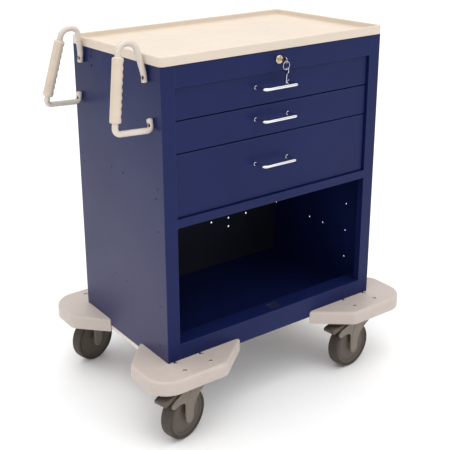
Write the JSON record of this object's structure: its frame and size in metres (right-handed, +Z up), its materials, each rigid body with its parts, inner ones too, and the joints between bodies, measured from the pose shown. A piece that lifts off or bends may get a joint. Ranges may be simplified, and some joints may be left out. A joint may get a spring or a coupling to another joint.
{
  "type": "wheeled bedside cabinet",
  "caption": "Steel ward cabinet on braked and free swivel casters, with locking drawers over an open bay, a rimmed top tray, corner bumpers and two side push handles.",
  "frame": {"origin": "on the floor under the middle of the whole object's outline, push handles and bumpers included", "axes": "+Z up, the drawers open towards -Y, the push handles are on the -X side"},
  "size_m": [0.8421, 0.554, 0.9505],
  "materials": {
    "navy_paint": "smooth satin navy powder coat",
    "tray_plastic": "cream moulded plastic, lightly grained",
    "cream_enamel": "cream gloss coat on steel",
    "grip_plastic": "cream soft plastic with flutes and finger grooves",
    "bumper_plastic": "beige moulded plastic, satin",
    "fork_plastic": "taupe moulded plastic, satin",
    "wheel_plastic": "dark grey moulded plastic",
    "tyre_rubber": "smooth grey-brown rubber",
    "grey_steel": "zinc plated steel",
    "chrome": "polished plating"
  },
  "bodies": {
    "cabinet": {"side_panel_left": "navy_paint", "side_panel_right": "navy_paint", "back_panel": "navy_paint", "top_pan": "navy_paint", "lock_rail": "navy_paint", "divider_rail": "navy_paint", "floor_pan": "navy_paint", "top_tray": "tray_plastic", "push_handle_front": "cream_enamel", "push_handle_rear": "cream_enamel", "base_frame": "cream_enamel", "grip_front": "grip_plastic", "grip_rear": "grip_plastic", "slide_1_left": "grey_steel", "slide_1_right": "grey_steel", "slide_2_left": "grey_steel", "slide_2_right": "grey_steel", "slide_3_left": "grey_steel", "slide_3_right": "grey_steel", "lock_cylinder": "chrome", "bumper_front_left": "bumper_plastic", "caster_plate_front_left": "grey_steel", "bumper_front_right": "bumper_plastic", "caster_plate_front_right": "grey_steel", "bumper_rear_left": "bumper_plastic", "caster_plate_rear_left": "grey_steel", "bumper_rear_right": "bumper_plastic", "caster_plate_rear_right": "grey_steel"},
    "drawer_1": {"drawer_1_front": "navy_paint", "drawer_1_box": "grey_steel", "drawer_1_pull": "chrome"},
    "drawer_2": {"drawer_2_front": "navy_paint", "drawer_2_box": "grey_steel", "drawer_2_pull": "chrome"},
    "drawer_3": {"drawer_3_front": "navy_paint", "drawer_3_box": "grey_steel", "drawer_3_pull": "chrome"},
    "plug": {"lock_plug": "chrome", "lock_cam": "grey_steel"},
    "key": {"key": "chrome"},
    "ring": {"key_ring": "chrome"},
    "bar": {"lock_bar": "grey_steel"},
    "swivel_front_left": {"fork_front_left": "fork_plastic", "axle_front_left": "grey_steel"},
    "roll_front_left": {"wheel_front_left": "wheel_plastic", "tyre_front_left": "tyre_rubber"},
    "swivel_front_right": {"fork_front_right": "fork_plastic", "axle_front_right": "grey_steel"},
    "roll_front_right": {"wheel_front_right": "wheel_plastic", "tyre_front_right": "tyre_rubber"},
    "swivel_rear_left": {"fork_rear_left": "fork_plastic", "axle_rear_left": "grey_steel"},
    "roll_rear_left": {"wheel_rear_left": "wheel_plastic", "tyre_rear_left": "tyre_rubber"},
    "swivel_rear_right": {"fork_rear_right": "fork_plastic", "axle_rear_right": "grey_steel"},
    "roll_rear_right": {"wheel_rear_right": "wheel_plastic", "tyre_rear_right": "tyre_rubber"},
    "pedal_front_left": {"brake_pedal_front_left": "wheel_plastic"},
    "pedal_front_right": {"brake_pedal_front_right": "wheel_plastic"}
  },
  "joints": [
    {"name": "drawer_1_slide", "type": "slide", "parent": "cabinet", "child": "drawer_1", "axis": [0, -1, 0], "range_m": [0, 0.32]},
    {"name": "drawer_2_slide", "type": "slide", "parent": "cabinet", "child": "drawer_2", "axis": [0, -1, 0], "range_m": [0, 0.32]},
    {"name": "drawer_3_slide", "type": "slide", "parent": "cabinet", "child": "drawer_3", "axis": [0, -1, 0], "range_m": [0, 0.32]},
    {"name": "lock_turn", "type": "hinge", "parent": "cabinet", "child": "plug", "pos_m": [0.01105, -0.2, 0.873], "axis": [0, -1, 0], "range_deg": [0, 90]},
    {"name": "key_insert", "type": "slide", "parent": "plug", "child": "key", "axis": [0, -1, 0], "range_m": [0, 0.016]},
    {"name": "ring_swing", "type": "hinge", "parent": "key", "child": "ring", "pos_m": [0.01105, -0.2265, 0.8718], "axis": [1, 0, 0], "range_deg": [-80, 20]},
    {"name": "bar_lift", "type": "slide", "parent": "cabinet", "child": "bar", "axis": [0, 0, 1], "range_m": [0, 0.0123]},
    {"name": "front_left_swivel", "type": "hinge", "parent": "cabinet", "child": "swivel_front_left", "pos_m": [-0.26195, -0.225, 0.14], "axis": [0, 0, 1], "continuous": true},
    {"name": "front_left_wheel", "type": "hinge", "parent": "swivel_front_left", "child": "roll_front_left", "pos_m": [-0.30076, -0.23468, 0.0635], "axis": [-0.2419, 0.9703, 0], "continuous": true},
    {"name": "front_right_swivel", "type": "hinge", "parent": "cabinet", "child": "swivel_front_right", "pos_m": [0.29005, -0.225, 0.14], "axis": [0, 0, 1], "continuous": true},
    {"name": "front_right_wheel", "type": "hinge", "parent": "swivel_front_right", "child": "roll_front_right", "pos_m": [0.25015, -0.22779, 0.0635], "axis": [-0.0698, 0.9976, 0], "continuous": true},
    {"name": "rear_left_swivel", "type": "hinge", "parent": "cabinet", "child": "swivel_rear_left", "pos_m": [-0.26195, 0.225, 0.14], "axis": [0, 0, 1], "continuous": true},
    {"name": "rear_left_wheel", "type": "hinge", "parent": "swivel_rear_left", "child": "roll_rear_left", "pos_m": [-0.30076, 0.21532, 0.0635], "axis": [-0.2419, 0.9703, 0], "continuous": true},
    {"name": "rear_right_swivel", "type": "hinge", "parent": "cabinet", "child": "swivel_rear_right", "pos_m": [0.29005, 0.225, 0.14], "axis": [0, 0, 1], "continuous": true},
    {"name": "rear_right_wheel", "type": "hinge", "parent": "swivel_rear_right", "child": "roll_rear_right", "pos_m": [0.25044, 0.21943, 0.0635], "axis": [-0.1392, 0.9903, 0], "continuous": true},
    {"name": "front_left_brake", "type": "hinge", "parent": "swivel_front_left", "child": "pedal_front_left", "pos_m": [-0.31968, -0.23939, 0.1285], "axis": [0.2419, -0.9703, 0], "range_deg": [0, 15]},
    {"name": "front_right_brake", "type": "hinge", "parent": "swivel_front_right", "child": "pedal_front_right", "pos_m": [0.2307, -0.22915, 0.1285], "axis": [0.0698, -0.9976, 0], "range_deg": [0, 15]}
  ],
  "couplings": [
    {"joint": "lock_turn", "follows": "bar_lift", "rad_per_m": 127.71}
  ]
}
